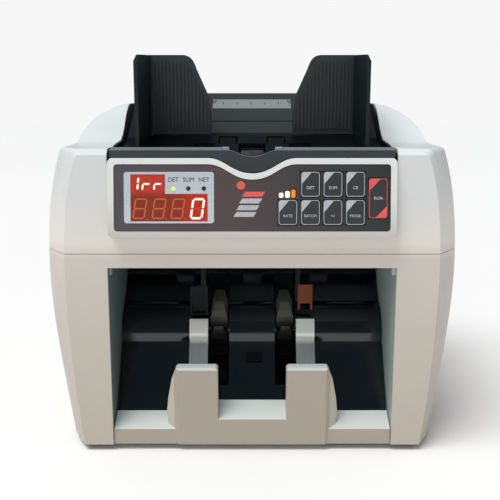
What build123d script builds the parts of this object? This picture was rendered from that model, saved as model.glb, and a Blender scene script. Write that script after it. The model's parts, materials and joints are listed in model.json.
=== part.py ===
from build123d import *
import math
import os

# Banknote counting machine. Millimetres, +Z up, +X to the operator's right,
# the operator stands on the -Y side. The origin is on the table, under the middle.

# ---- casing ----
FRONT_Y = -115.0
REAR_Y = 124.5
BODY_BOTTOM = 4.5
SEAM_Z = 144.5
SEAM_GAP = 0.4
WALL = 2.6
FOOT_HALF = 131.5
BELT_HALF = 145.0
BROW_HALF = 135.0
SHOULDER_Z = 216.0
ARCH_RISE = 29.0
ARCH_FLAT_HALF = 93.0
DECK_REAR_Z = 199.0
CHEEK_HALF = 97.6
HOPPER_REAR_Y = 33.0
REAR_COVER_HALF = 108.0
REAR_COVER_LOW = 16.0
REAR_COVER_HIGH = 176.0

# ---- note outlet ----
BAY_HALF = 99.7
BAY_TOP = 134.7
TONGUE_TOP = 62.0
TONGUE_IN = 24.4
TONGUE_OUT = 54.4
DRUM_Y = -40.0
DRUM_Z = 68.5
DRUM_R = 24.0
IMPELLER_HUB_R = 14.0
IMPELLER_FINS = 9
IMPELLER_R = 31.0
IMPELLER_IN = 18.8
IMPELLER_OUT = 31.9
STRIP_IN = 33.7
STRIP_OUT = 47.9

# ---- control panel ----
PANEL_TILT = 8.0
PANEL_LOW_Y = -124.5
PANEL_LOW_Z = 157.0
PANEL_HALF = 96.8
PANEL_BASE = 0.7
PANEL_HIGH = 53.8
PANEL_BAND = 4.1
PANEL_ROUND = 3.5
SCOOP_HALF = 30.0
SCOOP_DEPTH = 10.2
KEY_WIDE = 13.2
KEY_HIGH = 17.0
KEY_COLUMNS = (23.8, 38.9, 53.9, 69.0)
KEY_LOW_ROW = 17.6
KEY_HIGH_ROW = 36.4

# ---- hopper and guides ----
LIP_TOP = 215.4
LIP_REAR_TOP = 216.8
LIP_DIP = 4.4
LIP_SCOOP = 17.5
STRIP_TOP = 82.5
LIP_HALF = 95.5
FLOOR_FRONT_Y = -97.0
FLOOR_FRONT_Z = 207.0
FLOOR_REAR_Y = -34.0
FLOOR_REAR_Z = 221.0
GUIDE_X = 76.6
GUIDE_IN = 31.0
GUIDE_TOP = 281.0
WING_FLAT = 52.7
RIB_COUNT = 16
RIB_PITCH = 2.8
GUIDE_LOW = 222.0
GUIDE_REAR_Y = -29.5
PINION_Y = -20.0
PINION_TEETH = 12
PINION_MODULE = 1.0
RACK_LOW = 196.0
RACK_HIGH = 200.0

KNOB_Y = 66.0
KNOB_Z = 242.0

# ---- rollers, all on axes along X: (y, z) ----
SHAFT_R = 4.0
FEED_AXIS = (-78.0, 190.0)
FEED_R = 20.9
PICKUP_AXIS = (-43.7, 207.8)
PICKUP_R = 12.0
RETARD_AXIS = (-102.0, 206.5)
RETARD_R = 8.0
RETARD_BAR = (-106.0, 188.0)
OUTLET_AXIS = (-14.0, 128.0)
OUTLET_R = 11.0
PINCH_AXIS = (-33.0, 136.0)
PINCH_R = 9.3
STACKER_AXIS = (DRUM_Y, DRUM_Z)
MOTOR_AXIS = (45.0, 40.0)
TIE_LOW = (-50.0, 14.0)
MOTOR_PULLEY_R = 8.0
MAIN_PULLEY_R = 12.0
OUTLET_PULLEY_R = 10.0
FEED_PULLEY_R = 12.0
LIFT_PULLEY_R = 9.0
PICKUP_PULLEY_R = 6.0
STACKER_PULLEY_R = 13.0
FRAME_IN = 105.0
FRAME_OUT = 107.0
RUNNING = 0.05
BEARING_R = 6.0


# ---------------------------------------------------------------- helpers
def slab(x0, x1, y0, y1, z0, z1):
    """Box between two corners."""
    size = Box(x1 - x0, y1 - y0, z1 - z0)
    return Pos((x0 + x1) / 2, (y0 + y1) / 2, (z0 + z1) / 2) * size


def prism_x(points, x0, x1):
    """Outline of (y, z) points, extruded from x0 to x1."""
    face = make_face(Polyline(*points, close=True))
    return extrude(Pos(x0, 0, 0) * (Plane.YZ * face), x1 - x0)


def prism_y(points, y0, y1):
    """Outline of (x, z) points, extruded from y0 to y1."""
    face = make_face(Polyline(*points, close=True))
    return extrude(Pos(0, y0, 0) * (Plane.XZ * face), -(y1 - y0))


def rod(axis, radius, x0, x1):
    """Round bar along X at axis (y, z)."""
    bar = Rot(0, 90, 0) * Cylinder(radius, x1 - x0)
    return Pos((x0 + x1) / 2, axis[0], axis[1]) * bar


def ring(axis, outer, inner, x0, x1):
    """Round sleeve along X at axis (y, z)."""
    return rod(axis, outer, x0, x1) - rod(axis, inner, x0 - 1, x1 + 1)


def post(x, y, radius, z0, z1):
    """Round bar along Z."""
    return Pos(x, y, (z0 + z1) / 2) * Cylinder(radius, z1 - z0)


def both(shape):
    """The shape and its mirror image across the middle plane."""
    return shape + mirror(shape, about=Plane.YZ)


def other_side(shape):
    """The mirror image across the middle plane."""
    return mirror(shape, about=Plane.YZ)


def polar(axis, radius, degrees):
    """Point at an angle round an axis, as (y, z)."""
    turn = math.radians(degrees)
    return (axis[0] + radius * math.cos(turn), axis[1] + radius * math.sin(turn))


def save(name, shape):
    """Write one sub-part."""
    export_step(shape, os.path.join("parts", name + ".step"))


# ---------------------------------------------------------------- casing
def side_outline(tuck, shoulder, crest, inset):
    """Casing's cross-section as a closed face of (x, z), barrel sides and arched top."""
    low = BODY_BOTTOM - 6.0 * (inset > 0)
    foot = FOOT_HALF - 0.72 * tuck - inset
    belt = BELT_HALF - tuck - inset
    brow = BROW_HALF - 0.94 * tuck - inset
    top = shoulder - inset
    crest = crest - inset
    side = [
        [(foot, low), (foot + 6.5, 50.0), (belt, 95.0), (belt, 130.0)],
        [(belt, 130.0), (belt, 170.0), (brow + 5.0, top - 21.0), (brow, top - 5.0)],
        [(brow, top - 5.0), (brow - 0.5, top - 2.0), (brow - 2.0, top), (brow - 4.0, top)],
        [(brow - 4.0, top), (brow - 6.5, top + 0.6 * (crest - top)),
         (ARCH_FLAT_HALF + 17.0, crest), (ARCH_FLAT_HALF, crest)],
    ]
    edges = Line((-foot, low), (foot, low))
    for controls in side:
        edges += Bezier(*controls)
        edges += Bezier(*[(-x, z) for x, z in controls])
    edges += Line((-ARCH_FLAT_HALF, crest), (ARCH_FLAT_HALF, crest))
    return make_face(edges)


def section(y, tuck, shoulder, inset):
    """Flat-topped cross-section at depth y."""
    return Pos(0, y, 0) * (Plane.XZ * side_outline(tuck, shoulder, shoulder, inset))


def top_outline(inset):
    """Side view of the casing's body, whose top rises to the arch and falls to the deck."""
    low = BODY_BOTTOM - 20.0
    flat, crest, deck = SHOULDER_Z - inset, SHOULDER_Z + ARCH_RISE - inset, DECK_REAR_Z - inset
    rear = REAR_Y - inset
    edges = Polyline((-92.0, flat), (-92.0, low), (rear, low), (rear, deck - 14))
    edges += Line((-92.0, flat), (-58.0, flat))
    edges += Bezier((-58.0, flat), (-36.0, flat), (-30.0, crest), (2.0, crest))
    edges += Line((2.0, crest), (26.0, crest))
    edges += Bezier((26.0, crest), (70.0, crest), (rear - 4, deck + 12), (rear, deck - 14))
    return make_face(edges)


def form(inset):
    """Solid of the casing's outside, or of its inside when inset by the wall."""
    nose = [(FRONT_Y + inset, 16.0, 212.0), (-111.0 + inset * 0.6, 12.9, SHOULDER_Z),
            (-103.0 + inset * 0.4, 6.7, SHOULDER_Z), (-92.0, 0.0, SHOULDER_Z)]
    front = loft([section(y, tuck, top, inset) for y, tuck, top in nose], ruled=True)
    long = REAR_Y + 92.0
    arch = Plane.XZ * side_outline(0.0, SHOULDER_Z, SHOULDER_Z + ARCH_RISE, inset)
    body = extrude(Pos(0, -92, 0) * arch, -long)
    body = body & extrude(Pos(-160, 0, 0) * (Plane.YZ * top_outline(inset)), 320)
    rear = REAR_Y - inset
    wide = BELT_HALF - inset
    corner = [(wide + 5, rear - 14), (wide + 5, rear + 5), (wide - 10, rear + 5), (wide - 10, rear)]
    corner += [(wide - 2.5, rear - 5), (wide, rear - 12)]
    cut = extrude(Pos(0, 0, -20) * make_face(Polyline(*corner, close=True)), 320)
    return front + (body - both(cut))


def shells():
    """Lower and upper casing halves, split at the seam."""
    skin = form(0.0) - form(WALL)
    rear = slab(-REAR_COVER_HALF, REAR_COVER_HALF, 116, 130, REAR_COVER_LOW, REAR_COVER_HIGH)
    skin -= rear
    low_box = slab(-160, 160, -130, 130, 0, SEAM_Z - SEAM_GAP / 2)
    high_box = slab(-160, 160, -130, 130, SEAM_Z + SEAM_GAP / 2, 300)
    lower = skin & low_box
    lower -= slab(-BAY_HALF, BAY_HALF, -130, -95, 0, BAY_TOP)
    upper = skin & high_box
    upper -= slab(-CHEEK_HALF, CHEEK_HALF, -109, HOPPER_REAR_Y, 200, 300)
    upper -= slab(-CHEEK_HALF, CHEEK_HALF, -130, -105, 206, 300)
    upper -= slab(-88, 88, -130, -105, 166, 207)
    boss = post(0, KNOB_Y, 12.0, 236.0, KNOB_Z - 0.4)
    upper += boss
    upper -= post(0, KNOB_Y, 3.1, 200, 260)
    return lower, upper


def rear_cover():
    """Screwed panel that closes the back, with vents and cut-outs."""
    gap = 0.4
    half = REAR_COVER_HALF - gap
    cover = slab(-half, half, REAR_Y - 3.0, REAR_Y, REAR_COVER_LOW + gap, REAR_COVER_HIGH - gap)
    flange = slab(-112, 112, REAR_Y - 4.8, REAR_Y - WALL - 0.2, 12, 180)
    cover += flange - slab(-104, 104, 110, 130, 20, 172)
    for row in range(4):
        for column in range(14):
            x = -84.5 + 13 * column
            z = 108 + 16 * row
            cover -= slab(x - 4.5, x + 4.5, 110, 130, z - 1.6, z + 1.6)
    cover -= slab(61, 89, 110, 130, 30, 52)
    cover -= slab(32.6, 47.4, 110, 130, 30, 52)
    cover -= Pos(10, 120, 41) * Rot(90, 0, 0) * Cylinder(6.4, 30)
    for x in (-100, 100):
        for z in (24, 168):
            cover -= Pos(x, 120, z) * Rot(90, 0, 0) * Cylinder(1.7, 30)
            cover -= Pos(x, REAR_Y, z) * Rot(90, 0, 0) * Cylinder(3.1, 3.0)
    return cover


def rear_screws():
    """Pan-head screws of the rear cover."""
    group = Part()
    for x in (-100, 100):
        for z in (24, 168):
            head = Pos(x, REAR_Y - 0.8, z) * Rot(90, 0, 0) * Cylinder(2.9, 1.2)
            shank = Pos(x, REAR_Y - 6.2, z) * Rot(90, 0, 0) * Cylinder(1.5, 10)
            group += head + shank
    return group


# ---------------------------------------------------------------- base
def base_plate():
    """Steel plate that everything stands on."""
    plate = slab(-120, 120, -86, 117, BODY_BOTTOM, BODY_BOTTOM + 1.5)
    plate += slab(-108, 108, -109.5, -85, BODY_BOTTOM, BODY_BOTTOM + 1.5)
    for x, y in foot_places():
        plate -= post(x, y, 2.2, 0, 20)
    return plate


def foot_places():
    """Centres of the four feet."""
    return [(x, y) for x in (-96.0, 96.0) for y in (-84.0, 98.0)]


def rubber_feet():
    """Four feet with a recess for the screw."""
    group = Part()
    for x, y in foot_places():
        foot = Pos(x, y, BODY_BOTTOM / 2) * Cone(8.5, 10.0, BODY_BOTTOM)
        group += foot - post(x, y, 4.4, -1, 2.4) - post(x, y, 2.15, 0, 6)
    return group


def foot_screws():
    """Screws that hold the feet to the base plate."""
    group = Part()
    for x, y in foot_places():
        group += post(x, y, 3.8, 0.7, 2.3) + post(x, y, 2.0, 2.2, 8.5)
    return group


# ---------------------------------------------------------------- note outlet
def stacker_tray():
    """White front piece of the outlet: ledges and two upright tongues."""
    half = BAY_HALF - 0.5
    back = -97.2
    tray = prism_x([(-113.6, 6.3), (-113.6, 15.8), (back, 23.2), (back, 6.3)], -half, half)
    tray += prism_x([(-113.6, 4.6), (-113.6, 8.0), (-110.2, 8.0), (-110.2, 4.6)], -half, half)
    middle = [(FRONT_Y, 4.6), (FRONT_Y, 23.7), (back, 31.5), (back, 6.3), (-110.2, 6.3), (-110.2, 4.6)]
    tray += prism_x(middle, -TONGUE_IN - 1, TONGUE_IN + 1)
    return tray + both(tongue())


def tongue():
    """Right upright tongue, with a facet down its outer side."""
    outline = [(TONGUE_IN, 4.6), (TONGUE_IN, 60.5), (TONGUE_IN + 1.5, TONGUE_TOP),
               (TONGUE_OUT - 1.2, TONGUE_TOP), (TONGUE_OUT, 60.8), (57.5, 52.5),
               (60.3, 38.0), (61.6, 26.0), (60.6, 18.0), (53.0, 4.6)]
    body = prism_y(outline, FRONT_Y, -97.2)
    body -= prism_x([(-101.0, 66), (-105.5, 66), (-101.5, 26), (-97.2, 22), (-90, 22), (-90, 66)], 0, 70)
    body -= prism_x([(-116, 59.5), (-116, 63), (-112.5, 63)], 0, 70)
    body -= slab(0, 70, -110.2, -90, 0, 6.3)
    facet = make_face(Polyline((52.6, -116), (52.6, FRONT_Y), (64.0, -106.0), (70, -106), (70, -116),
                               close=True))
    return body - extrude(facet, 70)


def bay_liner():
    """Dark side walls and ceiling of the outlet."""
    wall = [(-111.8, 6.3), (-24, 6.3), (-24, 112), (-46, 120), (-46, 136.5), (-111.8, 136.5)]
    right = prism_x(wall, BAY_HALF + 0.3, BAY_HALF + 1.9)
    liner = both(right - rod(STACKER_AXIS, 4.8, 90, 120) - rod(TIE_LOW, 4.0, 90, 120))
    liner += slab(-101, 101, -111.8, -46, BAY_TOP + 0.2, 136.5)
    tab = slab(97.0, BAY_HALF + 0.5, -111.8, -107.5, 129.0, BAY_TOP + 0.4)
    return liner + both(tab)


def cover_path(offset):
    """Points of the outlet's back surface, moved out by offset, as (y, z)."""
    foot = (-95.0 - offset, 7.0)
    toe = (-95.0 - offset, 20.0 + 0.3 * offset)
    knee = (-88.0 - 0.85 * offset, 32.0 + 0.52 * offset)
    meet = polar(STACKER_AXIS, DRUM_R + offset, 187)
    brow = polar(STACKER_AXIS, DRUM_R + offset, 140)
    leave = polar(STACKER_AXIS, DRUM_R + offset, 98)
    end = (-22.0 - 0.64 * offset, 116.0 + 0.77 * offset)
    return foot, toe, knee, meet, brow, leave, end


def cover_band(inner, outer, x0, x1, with_foot):
    """Sheet that follows the outlet's back surface between two offsets."""
    a = cover_path(inner)
    b = cover_path(outer)
    start = 0 if with_foot else 2
    edges = Polyline(*b[start:4]) + ThreePointArc(b[3], b[4], b[5]) + Line(b[5], b[6])
    edges += Line(b[6], a[6]) + Line(a[6], a[5]) + ThreePointArc(a[5], a[4], a[3])
    edges += Polyline(*reversed(a[start:4])) + Line(a[start], b[start])
    return extrude(Pos(x0, 0, 0) * (Plane.YZ * make_face(edges)), x1 - x0)


def outlet_cover():
    """Glossy back wall with the half drum, slotted for the impellers."""
    half = BAY_HALF - 0.1
    cover = cover_band(-2.0, 0.0, -half, half, True)
    slot = slab(IMPELLER_IN - 1.4, IMPELLER_OUT + 1.4, -100, -18, 38, 111)
    return cover - both(slot)


def stripper_strips():
    """Bright metal strips beside the impellers, which end on the drum under the sensors."""
    strip = cover_band(0.2, 1.0, STRIP_IN, STRIP_OUT, False)
    return both(strip - slab(30, 60, -70, -10, STRIP_TOP, 130))


def impeller_fin(base):
    """Outline of one swept-back fin that starts inside the hub."""
    steps = 6
    start, reach = IMPELLER_HUB_R - 3.0, IMPELLER_R - IMPELLER_HUB_R + 3.0
    lead = []
    trail = []
    for step in range(steps + 1):
        share = step / steps
        lead.append(polar((0, 0), start + reach * share, base - 40 * share**1.4))
        trail.append(polar((0, 0), start + (reach - 0.8) * share, base + 16 - 53 * share))
    return make_face(Polyline(*lead, *reversed(trail), close=True))


def impeller_wheels():
    """Two finned wheels that lay each note in the stack, their fins narrower at the tip."""
    face = Circle(IMPELLER_HUB_R)
    for index in range(IMPELLER_FINS):
        face += impeller_fin(index * 360 / IMPELLER_FINS)
    face -= Circle(SHAFT_R + 0.02)
    wheel = extrude(Pos(IMPELLER_IN, 0, 0) * (Plane.YZ * face), IMPELLER_OUT - IMPELLER_IN)
    waist, tip, taper = DRUM_R - 1.0, IMPELLER_R + 0.2, 3.4
    outline = [(IMPELLER_IN, 0), (IMPELLER_IN, waist), (IMPELLER_IN + taper, tip),
               (IMPELLER_OUT - taper, tip), (IMPELLER_OUT, waist), (IMPELLER_OUT, 0)]
    envelope = revolve(Plane.XZ * make_face(Polyline(*outline, close=True)), Axis.X)
    return both(Pos(0, STACKER_AXIS[0], STACKER_AXIS[1]) * (wheel & envelope))


def count_sensors():
    """Left sensor bracket with a blind window, and the hanging bars of both sensors."""
    box = slab(-46.6, -33.4, -68, -62, 88, 110) - slab(-45.4, -35.0, -70, -64, 88.8, 96.8)
    box -= slab(-44.6, -36.0, -64, -60, 97.5, 108)
    box += slab(-38.5, -34.6, -67.5, -64.5, 108, BAY_TOP + 0.2)
    return box + slab(33.0, 36.4, -63.4, -60.8, 97, BAY_TOP + 0.2)


def sensor_tag():
    """Right sensor: amber board with two legs, in front of its hanging bar."""
    tag = slab(34.8, 45.8, -65, -63.4, 96, 110.6)
    return tag + slab(34.8, 36.4, -65, -63.4, 91, 97) + slab(44.4, 45.8, -65, -63.4, 91, 97)


def stack_sensor():
    """Small sensor window on the outlet's slope, which senses a note in the stacker."""
    knee = cover_path(0)[2]
    meet = cover_path(0)[3]
    slope = math.degrees(math.atan2(meet[1] - knee[1], meet[0] - knee[0]))
    middle = ((knee[0] + meet[0]) / 2, (knee[1] + meet[1]) / 2)
    face = Pos(0, middle[0], middle[1]) * Rot(slope, 0, 0)
    return face * Pos(1.3, 8, 0.95) * Box(12, 7.5, 1.5)


# ---------------------------------------------------------------- panel
def on_panel(shape):
    """Move a shape from the panel's own axes (x, up the panel, outward)."""
    tilt = math.radians(PANEL_TILT)
    plane = Plane(origin=(0, PANEL_LOW_Y, PANEL_LOW_Z), x_dir=(1, 0, 0),
                  z_dir=(0, -math.cos(tilt), math.sin(tilt)))
    return plane.location * shape


def tile(x0, x1, s0, s1, n0, n1):
    """Box on the panel: across, up the panel, outward."""
    return slab(x0, x1, s0, s1, n0, n1)


def dipping_edge(side, high, dip, half=SCOOP_HALF):
    """Control points of half of a top edge that dips in the middle."""
    return ((side * half, high), (side * half * 0.6, high), (side * half * 0.467, dip), (0, dip))


def scooped(half, low, high, r):
    """Rounded panel outline whose top edge dips in the middle."""
    dip = high - SCOOP_DEPTH
    edges = Line((-half + r, low), (half - r, low)) + Line((half, low + r), (half, high - r))
    edges += Line((-half, high - r), (-half, low + r))
    for side in (-1, 1):
        edges += RadiusArc((side * half, low + r), (side * (half - r), low), side * r)
        edges += RadiusArc((side * (half - r), high), (side * half, high - r), side * r)
        edges += Line((side * (half - r), high), (side * SCOOP_HALF, high))
        edges += Bezier(*dipping_edge(side, high, dip))
    return make_face(edges)


def inside_bezel(gap):
    """Panel outline inside the bezel's ring, clear of it by a gap."""
    band = PANEL_BAND + gap
    return scooped(PANEL_HALF - band, PANEL_BASE + band, PANEL_HIGH - band, PANEL_ROUND - 1.3)


def panel_bezel():
    """White ring round the control panel, with a vertical back."""
    ring_face = scooped(PANEL_HALF, PANEL_BASE, PANEL_HIGH, PANEL_ROUND) - inside_bezel(0)
    bezel = on_panel(Pos(0, 0, -14) * extrude(ring_face, 14))
    return bezel - slab(-120, 120, FRONT_Y - 0.1, -90, 140, 230)


def display_window():
    """L-shaped outline of the two number rows."""
    return tile(-81.4, -58.2, 29.8, 43.0, -2, 2) + tile(-81.4, -29.8, 11.6, 30.0, -2, 2)


def panel_overlay():
    """Dark printed sheet, cut out for the display, lamps and keys."""
    sheet = Pos(0, 0, -1.6) * extrude(inside_bezel(0.25), 1.0)
    sheet -= display_window()
    for x, s in lamp_places():
        sheet -= Pos(x, s, 0) * Cylinder(1.55, 8)
    for x, high in speed_bars():
        sheet -= tile(x - 1.7, x + 1.7, 27.2, 27.2 + high + 0.4, -4, 2)
    for x, s, wide, high in key_places().values():
        sheet -= tile(x - wide / 2 - 0.35, x + wide / 2 + 0.35,
                      s - high / 2 - 0.35, s + high / 2 + 0.35, -4, 2)
    return on_panel(sheet)


def lamp_places():
    """Mode lamps on the display frame."""
    return [(-52.8, 33.5), (-42.7, 33.5), (-32.3, 33.5)]


def speed_bars():
    """Speed lamps: place across the panel and height."""
    return [(19.4, 3.6), (23.6, 4.9), (27.7, 6.0)]


def key_places():
    """Name, place and size of every key."""
    c1, c2, c3, c4 = KEY_COLUMNS
    return {
        "key_detect": (c2, KEY_HIGH_ROW, KEY_WIDE, KEY_HIGH),
        "key_add": (c3, KEY_HIGH_ROW, KEY_WIDE, KEY_HIGH),
        "key_clear": (c4, KEY_HIGH_ROW, KEY_WIDE, KEY_HIGH),
        "key_speed": (c1, KEY_LOW_ROW, KEY_WIDE, KEY_HIGH),
        "key_preset": (c2, KEY_LOW_ROW, KEY_WIDE, KEY_HIGH),
        "key_plus_one": (c3, KEY_LOW_ROW, KEY_WIDE, KEY_HIGH),
        "key_auto": (c4, KEY_LOW_ROW, KEY_WIDE, KEY_HIGH),
        "key_start": (84.2, 27.0, 13.2, 27.0),
    }


def display_frame():
    """Silver plate round the display window and the mode lamps."""
    plate = tile(-85.8, -25.6, 10.3, 44.6, -0.55, -0.1)
    plate = chamfer(plate.edges().filter_by(Axis.Z), 1.2)
    plate -= display_window()
    for x, s in lamp_places():
        plate -= Pos(x, s, 0) * Cylinder(1.55, 8)
    return on_panel(plate)


def display_lens():
    """Red filter over both number rows."""
    lens = tile(-81.3, -58.3, 29.9, 42.9, -1.5, -0.3) + tile(-81.3, -29.9, 11.7, 29.95, -1.5, -0.3)
    return on_panel(lens)


def digit_modules():
    """Seven-segment display blocks: three small digits over four large ones."""
    small = tile(-81, -58.6, 30.5, 42.6, -4.15, -1.7)
    return on_panel(small + tile(-81, -30.2, 12.2, 29.4, -4.15, -1.7))


def indicator_lamps():
    """Three small mode lamps."""
    group = Part()
    for x, s in lamp_places():
        stem = Pos(x, s, -2.25) * Cylinder(1.35, 3.7)
        group += stem + Pos(x, s, -0.4) * Sphere(1.35)
    return on_panel(group)


def speed_lamps():
    """Rising bar of speed lamps."""
    group = Part()
    for x, high in speed_bars():
        group += tile(x - 1.5, x + 1.5, 27.4, 27.4 + high, -4.1, -0.5)
    return on_panel(group)


def panel_key(x, s, wide, high):
    """One key cap with softened edges."""
    cap = tile(x - wide / 2, x + wide / 2, s - high / 2, s + high / 2, -2.2, -0.15)
    cap = fillet(cap.edges().filter_by(Axis.Z), 1.2)
    cap = chamfer(cap.faces().sort_by(Axis.Z)[-1].edges(), 0.3)
    return on_panel(cap)


def key_domes():
    """Rubber domes under the keys."""
    group = Part()
    for x, s, wide, high in key_places().values():
        group += Pos(x, s, -3.53) * Cone(3.6, 2.4, 1.2)
    return on_panel(group)


def display_board():
    """Circuit board behind the panel."""
    board = tile(-86, 91, 8.5, 38.0, -5.8, -4.2) + tile(-86, -20, 8.5, 43.8, -5.8, -4.2)
    board += tile(30, 80, 8.5, 43.8, -5.8, -4.2)
    return on_panel(board & tile(-86, 86, 0, 60, -10, 0))


# ---------------------------------------------------------------- hopper
def hopper_lip():
    """Dark strip over the panel, in front of the hopper."""
    low = PANEL_LOW_Z + PANEL_HIGH * math.cos(math.radians(PANEL_TILT)) + 0.5
    edges = Line((-LIP_HALF, low), (-LIP_HALF, LIP_TOP)) + Line((LIP_HALF, LIP_TOP), (LIP_HALF, low))
    for side in (-1, 1):
        edges += Line((side * LIP_HALF, low), (side * SCOOP_HALF, low))
        edges += Bezier(*dipping_edge(side, low, low - SCOOP_DEPTH))
        edges += Line((side * LIP_HALF, LIP_TOP), (side * LIP_SCOOP, LIP_TOP))
        edges += Bezier(*dipping_edge(side, LIP_TOP, LIP_TOP - LIP_DIP, LIP_SCOOP))
    front = extrude(Pos(0, -116.6, 0) * (Plane.XZ * make_face(edges)), -1.9)
    across = [(-114.8, 206.4), (-114.8, LIP_TOP), (-107.4, LIP_REAR_TOP), (-107.4, 206.4)]
    lip = prism_x(across, -LIP_HALF, LIP_HALF)
    lip -= slab(-20.5, 20.5, -112.6, -100, 200, 230)
    lip -= extrude(Pos(0, -120, 0) * (Plane.XZ * scoop_cut()), -20)
    return front + lip


def scoop_cut():
    """Face above the lip's dipping top edge."""
    edges = Line((-LIP_SCOOP, LIP_TOP), (-LIP_SCOOP, LIP_TOP + 9))
    edges += Line((-LIP_SCOOP, LIP_TOP + 9), (LIP_SCOOP, LIP_TOP + 9))
    edges += Line((LIP_SCOOP, LIP_TOP + 9), (LIP_SCOOP, LIP_TOP))
    for side in (-1, 1):
        edges += Bezier(*dipping_edge(side, LIP_TOP, LIP_TOP - LIP_DIP, LIP_SCOOP))
    return make_face(edges)


def hopper_tray():
    """Black well of the hopper: sloping floor and side walls."""
    floor = [(-106.8, FLOOR_FRONT_Z - 2), (-106.8, FLOOR_FRONT_Z), (FLOOR_FRONT_Y, FLOOR_FRONT_Z),
             (FLOOR_REAR_Y, FLOOR_REAR_Z), (FLOOR_REAR_Y, FLOOR_REAR_Z - 2),
             (FLOOR_FRONT_Y, FLOOR_FRONT_Z - 2)]
    tray = prism_x(floor, -96.5, 96.5)
    side = [(-106.8, 202), (-106.8, 211), (-98, 213.6), (-93, 215.4), (-86, 216.8), (-78, 217.6),
            (-65, 218.2), (-54, 219), (-46, 222), (-22, 236), (0, 244.2), (32.2, 244.2), (32.2, 206),
            (-30, 204), (-60, 202)]
    wall = prism_x(side, LIP_HALF, LIP_HALF + 1.8)
    tray += both(wall - rod(PICKUP_AXIS, SHAFT_R + 0.8, 90, 100))
    for x0, x1 in feed_spans():
        tray -= slab(x0 - 1, x1 + 1, -101, -55.5, 190, 225)
    for x0, x1 in pickup_spans():
        tray -= slab(x0 - 1, x1 + 1, -57.5, -30, 190, 225)
    tray -= slab(-20.5, 20.5, -108, -95, 190, 225)
    return tray


def hopper_back():
    """Sloping rest behind the guides, with its ridge."""
    outer = [(-13, 222), (23, 252.2), (25, 252.8), (31.8, 252.8), (31.8, 206)]
    inner = [(29.4, 206), (29.4, 250.4), (25, 250.4), (-12, 219.2), (-13, 219.2)]
    back = prism_x(outer + inner, -LIP_HALF + 0.3, LIP_HALF - 0.3)
    slope = math.degrees(math.atan2(252.2 - 222, 36))
    groove = Pos(0, -2.6, 222 + 10.4 * math.tan(math.radians(slope))) * Rot(slope, 0, 0)
    back -= groove * Box(200, 1.0, 2.0)
    return back


def wing_top(x):
    """Height of the guide wing's top edge at a distance from the middle plane."""
    if x < -WING_FLAT:
        return GUIDE_TOP
    share = (x + WING_FLAT) / (WING_FLAT - 33.0)
    return GUIDE_TOP - 31.0 * share**1.5


def note_guide():
    """Left guide: ribbed wing, side plate and outer gussets."""
    inner = -GUIDE_IN
    outer = -GUIDE_X
    low = GUIDE_LOW
    edges = Line((outer - 2.5, GUIDE_TOP), (-WING_FLAT, GUIDE_TOP))
    edges += Bezier((-WING_FLAT, GUIDE_TOP), (-46.0, GUIDE_TOP), (-44.0, 276.5), (-42.0, 270.5))
    edges += Polyline((-42.0, 270.5), (-33.0, 250.5), (inner, 236), (inner, low + 2))
    edges += RadiusArc((inner, low + 2), (inner - 2, low), 2)
    edges += Polyline((inner - 2, low), (outer - 2.5, low), (outer - 2.5, GUIDE_TOP))
    wing = extrude(Pos(0, GUIDE_REAR_Y, 0) * (Plane.XZ * make_face(edges)), 3.0)
    for index in range(RIB_COUNT):
        x = 2.0 - GUIDE_X + RIB_PITCH * index
        top = wing_top(x + 1) - 4.5
        wing += slab(x - 0.65, x + 0.65, GUIDE_REAR_Y - 4.1, GUIDE_REAR_Y - 2.8, 226, top)
    side = [(GUIDE_REAR_Y - 1, low), (-38, low - 0.6), (-97, 208.2), (-106.2, 208.2),
            (-106.2, 273.6), (-91, 278.5), (GUIDE_REAR_Y, GUIDE_TOP)]
    plate = prism_x(side, outer - 2.5, outer)
    for y in (-98, -86, -66, -46):
        gusset = [(outer - 2, 250), (outer - 2, 222.5), (outer - 9, 222.5), (outer - 5.4, 236)]
        plate += prism_y(gusset, y, y + 2)
    return wing + plate


def rack_teeth(pitch_y, direction, x0, x1):
    """Row of rack teeth whose gaps are centred on x = 0."""
    step = math.pi * PINION_MODULE
    teeth = Part()
    first = math.ceil(x0 / step)
    last = math.floor(x1 / step)
    for index in range(first, last):
        x = (index + 0.5) * step
        root = pitch_y - direction * 1.3
        tip = pitch_y + direction * 0.85
        outline = [(x - 0.82, root), (x + 0.82, root), (x + 0.22, tip), (x - 0.22, tip)]
        face = make_face(Polyline(*outline, close=True))
        teeth += extrude(Pos(0, 0, RACK_LOW) * face, RACK_HIGH - RACK_LOW)
    return teeth


def carrier_left():
    """Left rack with its stem and rod bushing."""
    pitch_y = PINION_Y - PINION_TEETH * PINION_MODULE / 2
    bar = slab(-76, 26, -30.2, pitch_y - 1.2, RACK_LOW, RACK_HIGH)
    bar += rack_teeth(pitch_y, 1, -24, 24)
    stem = slab(-76, -62, -30.2, -27.4, 182, GUIDE_LOW - 0.05)
    block = slab(-76, -62, -30.2, -14, 181, 193)
    hole = rod((PINION_Y, 187), 3 + RUNNING, -90, -50)
    return bar + stem + block - hole


def carrier_right():
    """Right rack with its bridge, stem and rod bushing."""
    pitch_y = PINION_Y + PINION_TEETH * PINION_MODULE / 2
    bar = slab(-26, 76, pitch_y + 1.2, -9.8, RACK_LOW, RACK_HIGH)
    bar += rack_teeth(pitch_y, -1, -24, 24)
    stem = slab(62, 76, -30.2, -27.4, 201.2, GUIDE_LOW - 0.05)
    bridge = slab(62, 76, -30.2, -9.8, 201.2, 204.2) + slab(62, 76, -12.8, -9.8, 182, 204.2)
    block = slab(62, 76, -26, -9.8, 181, 193)
    hole = rod((PINION_Y, 187), 3 + RUNNING, 50, 90)
    return bar + stem + bridge + block - hole


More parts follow.
